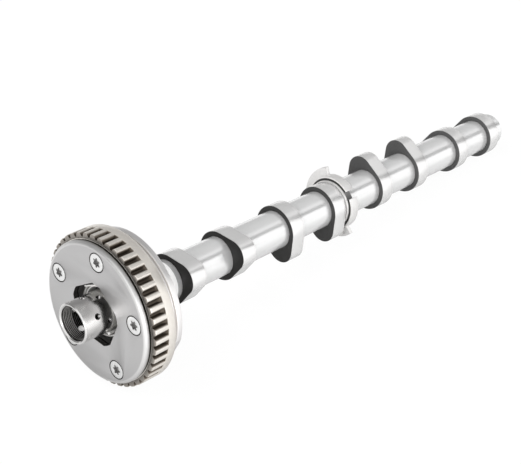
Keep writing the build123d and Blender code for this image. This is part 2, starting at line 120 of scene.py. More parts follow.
class Wire:
    """A value in a material: Python's operators on it add Math nodes."""

    def __init__(self, shader: "Shader", socket: bpy.types.NodeSocket) -> None:
        """Holds an output socket and the shader that it belongs to."""
        self.shader = shader
        self.socket = socket

    def calculate(self, operation: str, *values: Number) -> "Wire":
        """Adds one Math node and returns its output."""
        return self.shader.add("ShaderNodeMath", {"operation": operation}, *values)

    __add__, __radd__ = math_operator("ADD"), math_operator("ADD", True)
    __sub__, __rsub__ = math_operator("SUBTRACT"), math_operator("SUBTRACT", True)
    __mul__, __rmul__ = math_operator("MULTIPLY"), math_operator("MULTIPLY", True)
    __truediv__ = math_operator("DIVIDE")
    __gt__, __lt__ = math_operator("GREATER_THAN"), math_operator("LESS_THAN")
    larger = math_operator("MAXIMUM")

    def abs(self) -> "Wire":
        """Size without sign."""
        return self.calculate("ABSOLUTE", self)

    def sin(self) -> "Wire":
        """Sine."""
        return self.calculate("SINE", self)

    def root(self) -> "Wire":
        """Square root."""
        return self.calculate("SQRT", self)

    def fade(self, low: float, high: float) -> "Wire":
        """Zero below low, one above high, and smooth between them."""
        settings = {"interpolation_type": "SMOOTHSTEP"}
        return self.shader.add("ShaderNodeMapRange", settings, self, low, high, 0.0, 1.0)


class Shader:
    """Builds one node tree: each call of add makes a node, sets it and wires it."""

    def __init__(self, owner: Union[bpy.types.Material, bpy.types.World]) -> None:
        """Empties the tree of a material or a world."""
        owner.use_nodes = True
        self.tree = owner.node_tree
        self.tree.nodes.clear()

    def add(self, kind: str, settings: dict, *inputs: object, output: Union[int, str] = 0) -> Wire:
        """Adds a node.

        Args:
            kind: The node's type.
            settings: Its properties, and ramp stops under the key "stops".
            inputs: Values or wires for its inputs in order; None leaves one as it is.
            output: The output to return.

        Returns:
            The chosen output.
        """
        node = self.tree.nodes.new(kind)
        for name, value in settings.items():
            if name == "stops":
                self._ramp(node.color_ramp, value)
            else:
                setattr(node, name, value)
        for socket, value in zip(node.inputs, inputs):
            self.join(value, socket)
        return Wire(self, node.outputs[output])

    def join(self, value: object, socket: bpy.types.NodeSocket) -> None:
        """Puts a value or a wire into a socket."""
        if isinstance(value, Wire):
            self.tree.links.new(value.socket, socket)
        elif value is not None:
            if socket.type == "RGBA" and len(value) == 3:
                value = (*value, 1.0)
            socket.default_value = value

    @staticmethod
    def _ramp(ramp: bpy.types.ColorRamp, stops: list[tuple[float, Colour]]) -> None:
        """Sets a ramp's stops, given as place and colour."""
        while len(ramp.elements) < len(stops):
            ramp.elements.new(1.0)
        for element, (place, colour) in zip(ramp.elements, stops):
            element.position = place
            element.color = (*colour, 1.0)

    def mix(self, share: Number, first: object, second: object) -> Wire:
        """Mixes two colours by a share from 0 to 1."""
        node = self.tree.nodes.new("ShaderNodeMix")
        node.data_type = "RGBA"
        factor, colours = node.inputs[0], node.inputs[6:8]
        for socket, value in zip((factor, *colours), (share, first, second)):
            self.join(value, socket)
        return Wire(self, node.outputs[2])

    def between(self, share: Wire, first: Number, second: Number) -> Wire:
        """Mixes two numbers by a share from 0 to 1."""
        return self.add("ShaderNodeMix", {}, share, None, first, second)

    def vector(self, operation: str, *values: object, output: Union[int, str] = 0) -> Wire:
        """Adds a Vector Math node."""
        return self.add("ShaderNodeVectorMath", {"operation": operation}, *values, output=output)

    def dot(self, first: Wire, second: object) -> Wire:
        """Adds a dot product with a wire or a fixed direction."""
        return self.vector("DOT_PRODUCT", first, second, output="Value")

    def end(self, surface: Wire, kind: str = "ShaderNodeOutputMaterial") -> None:
        """Ends the tree in its output node."""
        self.join(surface, self.tree.nodes.new(kind).inputs[0])


class Metal(Shader):
    """A surface laid out in the shaft's own stations and radii, both in millimetres."""

    ENDWISE = (0.25, 0.6)
    INWARD = -0.3
    LINE_DETAIL = 3.0
    BRUSH_LINES = 9.0

    def __init__(self, material: bpy.types.Material) -> None:
        """Adds the nodes that measure a point against the shaft."""
        super().__init__(material)
        self.place = self.add("ShaderNodeTexCoord", {}, output="Object")
        normal = self.add("ShaderNodeTexCoord", {}, output="Normal")
        arm = self.vector("SUBTRACT", self.place, Shaft.NOSE_TIP)
        self.station = self.dot(arm, Shaft.TO_REAR) / MM
        across = self.dot(arm, Shaft.outward(0.0)) / MM
        upward = self.dot(arm, Shaft.outward(math.pi / 2)) / MM
        self.radius = (across * across + upward * upward).root()
        self.facing = self.dot(normal, Shaft.TO_REAR)
        self.endwise = self.facing.abs().fade(*self.ENDWISE)
        along = self.vector("SCALE", Shaft.TO_REAR, None, None, self.station * MM)
        radial = self.vector("NORMALIZE", self.vector("SUBTRACT", arm, along))
        self.inward = self.dot(normal, radial) < self.INWARD

    def noise(self, scale: float, detail: float, place: Union[Wire, None] = None) -> Wire:
        """Noise from 0 to 1.

        Args:
            scale: Grains per unit of the coordinates.
            detail: Octaves.
            place: Coordinates; the object's own if left out.

        Returns:
            The noise.
        """
        return self.add("ShaderNodeTexNoise", {}, place or self.place, None, scale, detail)

    def turned(self, lines: float) -> Wire:
        """Fine lines that run round the shaft, as a lathe or a grinder leaves them.

        Args:
            lines: Lines to a millimetre.

        Returns:
            Height from 0 to 1.
        """
        steps = (self.radius * lines, 0.0, self.station * lines)
        return self.noise(1.0, self.LINE_DETAIL, self.add("ShaderNodeCombineXYZ", {}, *steps))

    def shaded(self, share: Wire, colour: Colour, level: float) -> Wire:
        """Turns a colour into a multiple of itself by a share from 0 to 1."""
        return self.mix(share, colour, tuple(part * level for part in colour))

    def finish(
        self, colour: object, roughness: Number, height: Wire, relief: float,
        metallic: Number, brushed: Number = 0.0,
    ) -> None:
        """Ends the tree in one metal surface.

        Args:
            colour: Base colour.
            roughness: Roughness.
            height: Height of the fine relief, from 0 to 1.
            relief: Depth in metres that a height of 1 stands for.
            metallic: Metallic share.
            brushed: How far the grinding lines round the shaft tip the surface along it.
        """
        normal = self.add("ShaderNodeBump", {}, 1.0, relief, None, height)
        if isinstance(brushed, Wire) or brushed:
            tip = (self.turned(self.BRUSH_LINES) - 0.5) * brushed
            along = self.vector("SCALE", Shaft.TO_REAR, None, None, tip)
            normal = self.vector("NORMALIZE", self.vector("ADD", normal, along))
        surface = self.tree.nodes.new("ShaderNodeBsdfPrincipled")
        names = ("Base Color", "Roughness", "Metallic", "Normal")
        for name, value in zip(names, (colour, roughness, metallic, normal)):
            self.join(value, surface.inputs[name])
        self.end(Wire(self, surface.outputs[0]))


@dataclass(frozen=True)
class Finish:
    """A kind of surface: its name, and the look that each kind adds.

    Stations and radii are in millimetres, and a pair of them is where a change starts and ends.
    Grain and stain are noises, given as grains to a metre and octaves, and lines are counted to a
    millimetre. Worn is the multiple of the colour that the stain leads to, and uneven is the
    roughness that the grain adds.
    """

    name: str
    colour: Colour
    roughness: float
    shine: float = 1.0
    grain: Row = (90.0, 5.0)
    stain: Row = (90.0, 5.0)
    worn: float = 0.9
    uneven: float = 0.08
    relief: float = 20e-6

    def material(self) -> bpy.types.Material:
        """Makes the material."""
        material = bpy.data.materials.new(self.name)
        self.paint(Metal(material))
        return material

    def paint(self, metal: Metal) -> None:
        """Builds the surface.

        Args:
            metal: The shader to build it in.
        """
        grain = metal.noise(*self.grain)
        colour = metal.shaded(metal.noise(*self.stain), self.colour, self.worn)
        metal.finish(colour, self.roughness + grain * self.uneven, grain, self.relief, self.shine)


@dataclass(frozen=True)
class GroundSteel(Finish):
    """Bright steel, ground round the shaft, with a painted white sheen on the journal behind the
    covers.
    """

    shine: float = 0.55
    grain: Row = (60.0, 6.0)
    marks: Row = (0.45, 0.75)
    worn: float = 0.8
    uneven: float = 0.05
    relief: float = 4e-6
    line_pitch: float = 0.35
    line_share: float = 0.25
    line_uneven: float = 0.06
    brushed: float = 0.7
    journal_end: float = 64.0
    journal_shine: float = 0.05
    journal_painted_sheen: Colour = (0.97, 0.965, 0.96)

    def paint(self, metal: Metal) -> None:
        """Adds fine ground lines, faint handling marks and the journal's painted sheen."""
        lines = metal.turned(1.0 / self.line_pitch)
        marks = metal.noise(*self.grain).fade(*self.marks)
        journal = metal.station < self.journal_end
        colour = metal.shaded(lines * self.line_share, self.colour, self.worn)
        # painted sheen: the journal is painted near white and almost matt in place of its
        # reflection
        colour = metal.mix(journal, colour, self.journal_painted_sheen)
        rough = self.roughness + lines * self.line_uneven + marks * self.uneven
        shine = self.shine - journal * (self.shine - self.journal_shine)
        metal.finish(colour, rough, lines, self.relief, shine, self.brushed)


@dataclass(frozen=True)
class TurnedSteel(Finish):
    """Fine turned steel with painted shade in its bore, crossed by painted highlights along its
    thread ridges.
    """

    worn: float = 0.72
    uneven: float = 0.12
    relief: float = 4e-6
    lines: float = 0.9
    brushed: float = 0.15
    bore_start: float = 0.7
    bore_uneven: float = 0.15
    bore_painted_shade: Colour = (0.03, 0.028, 0.026)
    ridge_painted_highlight: Colour = (0.75, 0.74, 0.73)
    ridge: Row = (0.2, 0.95)
    thread_pitch: float = 1.0

    def paint(self, metal: Metal) -> None:
        """Adds turning lines, darkens the ends, and paints shade with bright painted thread ridges
        on what faces the shaft's axis.
        """
        lines = metal.turned(self.lines)
        inside = metal.inward * (metal.station > self.bore_start)
        ridge = (metal.station * (math.tau / self.thread_pitch)).sin().fade(*self.ridge)
        # painted shade in the bore, crossed by painted highlights where thread ridges would catch
        # the light
        bore = metal.mix(ridge, self.bore_painted_shade, self.ridge_painted_highlight)
        colour = metal.mix(inside, metal.shaded(metal.endwise, self.colour, self.worn), bore)
        rough = self.roughness + lines * self.uneven + inside * self.bore_uneven
        brushed = (1.0 - inside) * self.brushed
        metal.finish(colour, rough, lines, self.relief, self.shine, brushed)


@dataclass(frozen=True)
class ThreadSteel(Finish):
    """Cut thread: bright crests over painted shade in the roots."""

    grain: Row = (300.0, 4.0)
    uneven: float = 0.15
    relief: float = 10e-6
    root: Row = (9.32, 9.55)
    root_painted_shade: Colour = (0.015, 0.014, 0.013)

    def paint(self, metal: Metal) -> None:
        """Paints shade with depth below the crest."""
        marks = metal.noise(*self.grain)
        # painted shade: the thread darkens towards its roots
        colour = metal.mix(metal.radius.fade(*self.root), self.colour, self.root_painted_shade)
        metal.finish(colour, self.roughness + marks * self.uneven, marks, self.relief, self.shine)


@dataclass(frozen=True)
class LobeSteel(Finish):
    """Dark sintered end faces, paler to the rear, and a bright ground cam track."""

    shine: float = 0.35
    grain: Row = (900.0, 3.0)
    uneven: float = 0.07
    relief: float = 10e-6
    lines: float = 2.5
    line_height: float = 0.3
    brushed: float = 0.6
    face_roughness: float = 0.55
    face_shine: float = 0.35
    stain: Row = (45.0, 5.0)
    dark_face: Colour = (0.005, 0.0045, 0.004)
    dark_worn: float = 1.9
    pale_face: Colour = (0.075, 0.075, 0.075)
    pale_worn: float = 1.3
    paling: Row = (60.0, 330.0)

    def paint(self, metal: Metal) -> None:
        """Splits the end faces from the ground track by where the surface faces."""
        pores = metal.noise(*self.grain)
        stain = metal.noise(*self.stain)
        lines = metal.turned(self.lines)
        side = 1.0 - metal.endwise
        dark = metal.shaded(stain, self.dark_face, self.dark_worn)
        pale = metal.shaded(stain, self.pale_face, self.pale_worn)
        face = metal.mix(metal.station.fade(*self.paling), dark, pale)
        colour = metal.mix(metal.endwise, self.colour, face)
        height = metal.between(metal.endwise, lines * self.line_height, pores)
        track = lines * self.uneven + self.roughness
        rough = metal.between(metal.endwise, track, self.face_roughness)
        shine = self.face_shine + side * self.shine
        metal.finish(colour, rough, height, self.relief, shine, side * self.brushed)


@dataclass(frozen=True)
class SensorSteel(Finish):
    """Light sintered blades on a hub with painted shade."""

    shine: float = 0.5
    grain: Row = (700.0, 4.0)
    worn: float = 0.85
    uneven: float = 0.1
    hub_radius: float = 17.0
    hub_front: float = 207.4
    hub_end: float = 213.9
    hub_face_painted_shade: Colour = (0.035, 0.034, 0.033)
    hub_side_painted_shade: Colour = (0.2, 0.197, 0.195)

    def paint(self, metal: Metal) -> None:
        """Paints shade on the hub, most on its end faces, and lets the rest stay light."""
        pores = metal.noise(*self.grain)
        within = (metal.station > self.hub_front) * (metal.station < self.hub_end)
        # painted shade on the hub's faces and sides, where it sits in the gap and slot
        hub = metal.mix(metal.endwise, self.hub_side_painted_shade, self.hub_face_painted_shade)
        light = metal.shaded(pores, self.colour, self.worn)
        colour = metal.mix((metal.radius < self.hub_radius) * within, light, hub)
        metal.finish(colour, self.roughness + pores * self.uneven, pores, self.relief, self.shine)


@dataclass(frozen=True)
class CoverSteel(Finish):
    """Satin steel with fine turning lines, a painted highlight on its rim, painted shade on the
    hole walls and a painted shadow in the gap behind its rim.
    """

    grain: Row = (40.0, 4.0)
    worn: float = 0.93
    uneven: float = 0.06
    relief: float = 5e-6
    lines: float = 1.8
    line_uneven: float = 0.05
    hole_reach: float = 38.2
    hole_facing: float = 0.94
    hole_painted_shade: Colour = (0.08, 0.078, 0.075)
    rim: Row = (38.2, 39.1)
    rim_painted_highlight: Colour = (0.68, 0.675, 0.67)
    gap_front: Row = (17.5, 17.8)
    gap_end: float = 19.0
    gap_painted_shade: Colour = (0.03, 0.028, 0.026)

    def paint(self, metal: Metal) -> None:
        """Sets the face, the rim's painted highlight, the holes' painted shade and the gap's
        painted shadow apart by place and by where the surface faces.
        """
        lines = metal.turned(self.lines)
        cloud = metal.noise(*self.grain)
        face = metal.shaded(cloud, self.colour, self.worn)
        # painted highlight on the rounded rim
        colour = metal.mix(metal.radius.fade(*self.rim), face, self.rim_painted_highlight)
        # painted shade on the walls of the opening and the countersinks
        hole_shade = (metal.facing.abs() < self.hole_facing) * (metal.radius < self.hole_reach)
        colour = metal.mix(hole_shade, colour, self.hole_painted_shade)
        # painted shadow in the gap between the cover's side wall and the sprocket
        gap = metal.station.fade(*self.gap_front) * (metal.station < self.gap_end)
        colour = metal.mix(gap, colour, self.gap_painted_shade)
        rough = self.roughness + cloud * self.uneven + lines * self.line_uneven
        metal.finish(colour, rough, lines, self.relief, self.shine)


@dataclass(frozen=True)
class SprocketSteel(Finish):
    """Warm sintered steel, with painted shade in the gaps between the teeth and on their flanks.
    """

    shine: float = 0.75
    grain: Row = (500.0, 4.0)
    worn: float = 0.88
    uneven: float = 0.1
    relief: float = 10e-6
    lines: float = 1.5
    line_height: float = 0.5
    teeth_front: Row = (18.7, 19.3)
    teeth_end: Row = (27.8, 29.3)
    crest: Row = (43.4, 44.1)
    flank: Row = (42.4, 44.0)
    flank_painted_shade: Colour = (0.19, 0.16, 0.13)
    gap_painted_shade: Colour = (0.05, 0.04, 0.03)
    gap_floor_painted_shade: Colour = (0.06, 0.048, 0.037)
    land: Row = (41.0, 41.2)
    groove_inner: Row = (40.2, 40.35)
    groove_outer: Row = (40.75, 40.9)
    groove_painted_shade: Colour = (0.02, 0.018, 0.015)

    def paint(self, metal: Metal) -> None:
        """Paints shade into the gaps between the teeth and onto the land round the cover's rim,
        all but a thin line.
        """
        pores = metal.noise(*self.grain)
        lines = metal.turned(self.lines)
        light = metal.shaded(pores, self.colour, self.worn)
        # painted shade in the gaps between the teeth, darkest on the floor and lighter up the
        # flanks
        floor = metal.mix(pores, self.gap_painted_shade, self.gap_floor_painted_shade)
        gap = metal.mix(metal.radius.fade(*self.flank), floor, self.flank_painted_shade)
        station, radius = metal.station, metal.radius
        teeth = station.fade(*self.teeth_front) * (1.0 - station.fade(*self.teeth_end))
        colour = metal.mix((1.0 - radius.fade(*self.crest)) * teeth, light, gap)
        # painted shadow of the cover's rim on the land, all but a thin line
        line = radius.fade(*self.groove_inner) * (1.0 - radius.fade(*self.groove_outer))
        groove = metal.mix(line, self.groove_painted_shade, self.colour)
        inner = (station < self.teeth_front[1]) * (1.0 - radius.fade(*self.land))
        colour = metal.mix(inner, colour, groove)
        height = lines * self.line_height + pores * (1.0 - self.line_height)
        metal.finish(colour, self.roughness + pores * self.uneven, height, self.relief, self.shine)


@dataclass(frozen=True)
class PlatedSteel(Finish):
    """Plated screws with painted shade in the key recess."""

    grain: Row = (600.0, 4.0)
    uneven: float = 0.12
    relief: float = 10e-6
    recess: Row = (15.1, 15.3)
    recess_uneven: float = 0.2
    recess_painted_shade: Colour = (0.36, 0.355, 0.35)

    def paint(self, metal: Metal) -> None:
        """Paints shade on all that lies below the heads' faces."""
        grain = metal.noise(*self.grain)
        deep = metal.station.fade(*self.recess)
        # painted shade: the recess darkens below the heads' faces
        colour = metal.mix(deep, self.colour, self.recess_painted_shade)
        rough = self.roughness + grain * self.uneven + deep * self.recess_uneven
        metal.finish(colour, rough, grain, self.relief, self.shine)


class Kind(Enum):
    """The finishes of the camshaft's pieces."""

    TUBE = GroundSteel("tube_steel", (0.84, 0.84, 0.84), 0.12)
    NOSE = TurnedSteel("nose_steel", (0.84, 0.83, 0.82), 0.16)
    THREAD = ThreadSteel("nose_steel", (0.4, 0.39, 0.38), 0.25)
    LOBE = LobeSteel("lobe_steel", (0.87, 0.865, 0.86), 0.22)
    SENSOR = SensorSteel("sensor_steel", (0.81, 0.80, 0.79), 0.34)
    COVER = CoverSteel("cover_steel", (0.53, 0.525, 0.525), 0.38)
    COVER_REAR = CoverSteel("cover_steel", (0.92, 0.905, 0.9), 0.36, rim_painted_highlight=(0.92, 0.905, 0.9))
    SPROCKET = SprocketSteel("sprocket_steel", (0.84, 0.80, 0.745), 0.3)
    SCREW = PlatedSteel("screw_steel", (0.80, 0.8, 0.795), 0.32)
    SPRING = Finish("spring_steel", (0.78, 0.77, 0.75), 0.25, 0.45)
    ROTOR = Finish("rotor_steel", (0.40, 0.395, 0.39), 0.42, 0.8)
    SEAL = Finish(
        "seal_plastic", (0.05, 0.04, 0.032), 0.45, 0.0,
        grain=(1200.0, 3.0), stain=(150.0, 5.0), worn=1.4, uneven=0.1,
    )


@cache
def finish_of(kind: Kind) -> bpy.types.Material:
    """The material of a kind, made on first use."""
    return kind.value.material()


class Body(Enum):
    """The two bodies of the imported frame."""

    SHAFT = "camshaft"
    HOUSING = "phaser_housing"


# Steps that the pieces share, with sizes in millimetres and degrees


def select_none() -> None:
    """Leaves nothing selected."""
    bpy.ops.object.select_all(action="DESELECT")


def select_only(piece: Piece) -> None:
    """Selects one object alone."""
    select_none()
    piece.select_set(True)
    bpy.context.view_layer.objects.active = piece


@contextmanager
def editing(piece: Piece, action: str = "SELECT") -> Iterator[None]:
    """Opens a piece in edit mode with all or nothing selected, and closes it at the end."""
    select_only(piece)
    bpy.ops.object.mode_set(mode="EDIT")
    bpy.ops.mesh.select_all(action=action)
    yield
    bpy.ops.object.mode_set(mode="OBJECT")


def apply_modifiers(piece: Piece) -> None:
    """Applies every modifier in order."""
    select_only(piece)
    for modifier in list(piece.modifiers):
        bpy.ops.object.modifier_apply(modifier=modifier.name)


def put(piece: Piece, place: Matrix) -> None:
    """Carries a piece to its place and leaves its object at the origin."""
    select_only(piece)
    piece.matrix_world = place @ piece.matrix_world
    bpy.ops.object.transform_apply()


def set_back(piece: Piece, station: float) -> None:
    """Moves a piece back along the shaft."""
    put(piece, Matrix.Translation((0.0, 0.0, -station * MM)))


def shift(piece: Piece, radius: float, angle: float) -> Piece:
    """Moves a piece out from the axis and turns it to a cam angle."""
    turn = Matrix.Rotation(math.radians(angle), 4, "Z")
    put(piece, turn @ Matrix.Translation((radius * MM, 0.0, 0.0)))
    return piece


def clean(piece: Piece) -> None:
    """Merges doubles and turns the faces outwards."""
    with editing(piece):
        bpy.ops.mesh.remove_doubles(threshold=MERGE)
        bpy.ops.mesh.normals_make_consistent(inside=False)


def smooth(limit: float) -> None:
    """Shades the selected piece smooth but for edges sharper than a limit."""
    bpy.ops.object.shade_smooth_by_angle(angle=math.radians(limit))


def ease(piece: Piece, width: float, segments: int = 2, limit: float = 35.0) -> None:
    """Rounds the sharp edges and smooths the rest.

    Args:
        piece: The piece.
        width: Width of the rounding.
        segments: Faces across it.
        limit: Angle from which an edge counts as sharp.
    """
    bevel = piece.modifiers.new("ease", "BEVEL")
    bevel.width = width * MM
    bevel.segments = segments
    bevel.limit_method = "ANGLE"
    bevel.angle_limit = math.radians(limit)
    bevel.use_clamp_overlap = False
    apply_modifiers(piece)
    clean(piece)
    smooth(limit)


def copied(piece: Piece, angle: float) -> Piece:
    """A copy with its own mesh, turned round the axis."""
    twin = piece.copy()
    twin.data = piece.data.copy()
    bpy.context.scene.collection.objects.link(twin)
    put(twin, Matrix.Rotation(math.radians(angle), 4, "Z"))
    return twin


def spread(piece: Piece, count: int) -> list[Piece]:
    """A piece and its copies, set evenly round the axis."""
    return [piece] + [copied(piece, 360.0 / count * turn) for turn in range(1, count)]


def joined(pieces: list[Piece]) -> Piece:
    """Joins several pieces in one mesh."""
    select_none()
    for piece in pieces:
        piece.select_set(True)
    bpy.context.view_layer.objects.active = pieces[0]
    bpy.ops.object.join()
    return pieces[0]


def cut(piece: Piece, tools: list[Piece]) -> None:
    """Cuts tools out of a piece and removes them."""
    for tool in tools:
        boolean = piece.modifiers.new("cut", "BOOLEAN")
        boolean.operation = "DIFFERENCE"
        boolean.solver = "EXACT"
        boolean.object = tool
        apply_modifiers(piece)
        bpy.data.objects.remove(tool)


def slice_off(piece: Piece, reach: float, angle: float) -> None:
    """Cuts off what lies further out than a flat, and closes the cut.

    Args:
        piece: The piece.
        reach: The flat's distance from the axis.
        angle: Its cam angle.
    """
    out = Vector((math.cos(math.radians(angle)), math.sin(math.radians(angle)), 0.0))
    with editing(piece):
        bpy.ops.mesh.bisect(
            plane_co=out * reach * MM, plane_no=out, use_fill=True, clear_outer=True
        )


def drum(radius: float, front: float, rear: float, segments: int = 96) -> Piece:
    """Adds a cylinder between two stations.

    Args:
        radius: Radius.
        front: Front station.
        rear: Rear station.
        segments: Corners.

    Returns:
        The cylinder.
    """
    select_none()
    bpy.ops.mesh.primitive_cylinder_add(
        vertices=segments, radius=radius * MM, depth=(rear - front) * MM,
        location=(0, 0, -(front + rear) / 2 * MM),
    )
    bpy.ops.object.transform_apply()
    return bpy.context.object


def block(length: float, width: float, front: float, rear: float, reach: float = 0.0) -> Piece:
    """Adds a box between two stations.

    Args:
        length: Length out from the axis.
        width: Width across.
        front: Front station.
        rear: Rear station.
        reach: Distance of its middle from the axis.

    Returns:
        The box.
    """
    select_none()
    bpy.ops.mesh.primitive_cube_add(size=1.0)
    piece = bpy.context.object
    piece.scale = (length * MM, width * MM, (rear - front) * MM)
    piece.location = (reach * MM, 0.0, -(front + rear) / 2 * MM)
    bpy.ops.object.transform_apply()
    return piece


def quarter(steps: int) -> list[Row]:
    """Sine, and one less the cosine, in even steps over a quarter turn."""
    angles = [math.radians(90.0 * step / steps) for step in range(steps + 1)]
    return [(math.sin(angle), 1 - math.cos(angle)) for angle in angles]


def lathe(rows: list[Row], segments: int) -> Piece:
    """Turns a profile ring by ring.

    Args:
        rows: Radius and station of each ring. A profile that ends where it starts is hollow;
            another is closed with flat ends.
        segments: Corners to a ring.

    Returns:
        The turned piece.
    """
    rows = [(radius * MM, -place * MM) for radius, place in rows]
    select_none()
    bpy.ops.mesh.primitive_circle_add(
        vertices=segments, radius=rows[0][0], location=(0, 0, rows[0][1])
    )
    piece = bpy.context.object
    bpy.ops.object.transform_apply()
    with editing(piece):
        for (radius, height), (next_radius, next_height) in zip(rows, rows[1:]):
            step = {"value": (0.0, 0.0, next_height - height)}
            bpy.ops.mesh.extrude_region_move(TRANSFORM_OT_translate=step)
            share = next_radius / radius
            middle = (0.0, 0.0, next_height)
            bpy.ops.transform.resize(value=(share, share, 1.0), center_override=middle)
        if rows[0] != rows[-1]:
            bpy.ops.mesh.select_all(action="SELECT")
            bpy.ops.mesh.fill_holes(sides=0)
    clean(piece)
    return piece


def wound(corners: list[Row], pitch: float, turns: int, steps: int) -> Piece:
    """Winds a closed profile round the axis as a screw does, from the front to the rear.

    Args:
        corners: Radius and height of the profile's corners, in any order.
        pitch: Length of one turn.
        turns: Turns.
        steps: Steps to a turn.

    Returns:
        The wound piece, with closed ends.
    """
    corners = [(radius * MM, height * MM) for radius, height in corners]
    middle = Vector((sum(x for x, _ in corners), sum(z for _, z in corners))) / len(corners)
    corners.sort(key=lambda corner: math.atan2(corner[1] - middle.y, corner[0] - middle.x))
    select_none()
    bpy.ops.mesh.primitive_circle_add(vertices=len(corners), radius=1.0)
    piece = bpy.context.object
    for vertex, (radius, height) in zip(piece.data.vertices, corners):
        vertex.co = Vector((radius, 0.0, height))
    screw = piece.modifiers.new("turns", "SCREW")
    screw.axis = "Z"
    screw.angle = math.tau
    screw.screw_offset = -pitch * MM
    screw.iterations = turns
    screw.steps = screw.render_steps = steps
    apply_modifiers(piece)
    with editing(piece):
        bpy.ops.mesh.fill_holes(sides=0)
    clean(piece)
    smooth(limit=40.0)
    return piece


def copy_of(node: str) -> Piece:
    """A CAD node's shape as one closed mesh round its own Z axis."""
    piece = bpy.data.objects.new(node + "_copy", frame["nodes"][node].data.copy())
    bpy.context.scene.collection.objects.link(piece)
    select_only(piece)
    if piece.data.has_custom_normals:
        bpy.ops.mesh.customdata_custom_splitnormals_clear()
    clean(piece)
    with editing(piece):
        bpy.ops.mesh.dissolve_limited(angle_limit=FLAT)
    put(piece, Shaft.placement().inverted())
    return piece


def hand_over(
    piece: Piece, name: str, body: Union[Body, None], kind: Kind, nodes: Iterable[str] = ()
) -> None:
    """Places, names, dresses and mounts a finished piece.

    Args:
        piece: The finished object, still round its own Z axis.
        name: Its name.
        body: The body that it moves with, or None for one that is held by both.
        kind: Its finish.
        nodes: CAD nodes that it stands for.
    """
    put(piece, Shaft.placement())
    piece.name = name
    piece.data.name = name
    piece.data.materials.clear()
    piece.data.materials.append(finish_of(kind))
    if body:
        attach(piece, body.value)
    if nodes:
        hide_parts(*nodes)
    holder = body.value if body else "both bodies"
    log.info("%s: %d faces on %s", name, len(piece.data.polygons), holder)


@dataclass
class Dressing:
    """The finishes of the CAD nodes that stay as they are."""

    finishes: tuple[tuple[Kind, tuple[str, ...]], ...] = (
        (Kind.TUBE, ("shaft_tube", "lock_seat", "lock_pin")),
        (Kind.NOSE, ("nose_piece", "rear_plug")),
        (Kind.ROTOR, ("rotor", "lock_cap")),
        (Kind.SEAL, ("vane_seals", "web_seals")),
        (Kind.SPRING, ("vane_seal_springs", "web_seal_springs")),
    )

    def build(self) -> None:
        """Dresses each node."""
        for kind, nodes in self.finishes:
            for node in nodes:
                solid = frame["nodes"][node]
                if not solid.material_slots:
                    solid.data.materials.append(None)
                for slot in solid.material_slots:
                    slot.material = finish_of(kind)
                log.info("%s: dressed as %s", node, kind.value.name)


@dataclass
class Lobes:
    """The eight cam lobes, modelled once and copied."""

    base_radius: float = 15.2
    nose_radius: float = 9.4
    nose_offset: float = 12.1
    bore_radius: float = 11.97
    width: float = 11.0
    chamfer: float = 0.4
    first_station: float = 67.0
    cylinder_pitch: float = 88.0
    pair_spacing: float = 39.6
    angles: tuple[float, ...] = (0.0, -90.0, 90.0, 180.0)

    def build(self) -> None:
        """Makes the lobes and sets each at its station and angle."""
        pattern = self._pattern()
        for number in range(2 * len(self.angles)):
            cylinder, pair = divmod(number, 2)
            lobe = copied(pattern, self.angles[cylinder])
            back = cylinder * self.cylinder_pitch + pair * self.pair_spacing
            set_back(lobe, self.first_station + back)
            hand_over(lobe, f"cam_{number + 1}", Body.SHAFT, Kind.LOBE, [f"lobe_{number + 1}"])
        bpy.data.objects.remove(pattern)

    def _pattern(self) -> Piece:
        """Wraps the hull of the base and nose drums, bores it and rounds its rims."""
        base = drum(self.base_radius, 0.0, self.width, segments=160)
        nose = drum(self.nose_radius, 0.0, self.width, segments=128)
        lobe = joined([base, shift(nose, self.nose_offset, 0.0)])
        with editing(lobe):
            bpy.ops.mesh.convex_hull()
            bpy.ops.mesh.select_all(action="SELECT")
            bpy.ops.mesh.dissolve_limited(angle_limit=FLAT)
        cut(lobe, [drum(self.bore_radius, -OVER, self.width + OVER, segments=128)])
        ease(lobe, self.chamfer, segments=3)
        return lobe


@dataclass
class Webbed:
    """What the housing's pieces share: two ends, five webs and the screws through these."""

    front: float = 15.0
    rear: float = 40.0
    web_count: int = 5
    web_angle: float = -11.5
    screw_circle: float = 32.2

    def web_angles(self) -> list[float]:
        """The cam angle of each web."""
        return [self.web_angle + 360.0 / self.web_count * web for web in range(self.web_count)]

    def through(self, radius: float, segments: int) -> Piece:
        """A drum that stands out of the piece at both ends."""
        return drum(radius, self.front - OVER, self.rear + OVER, segments)

    def hole(self, radius: float, angle: float) -> Piece:
        """The shape of a screw's hole through the piece, at a web's angle."""
        return shift(self.through(radius, segments=48), self.screw_circle, angle)


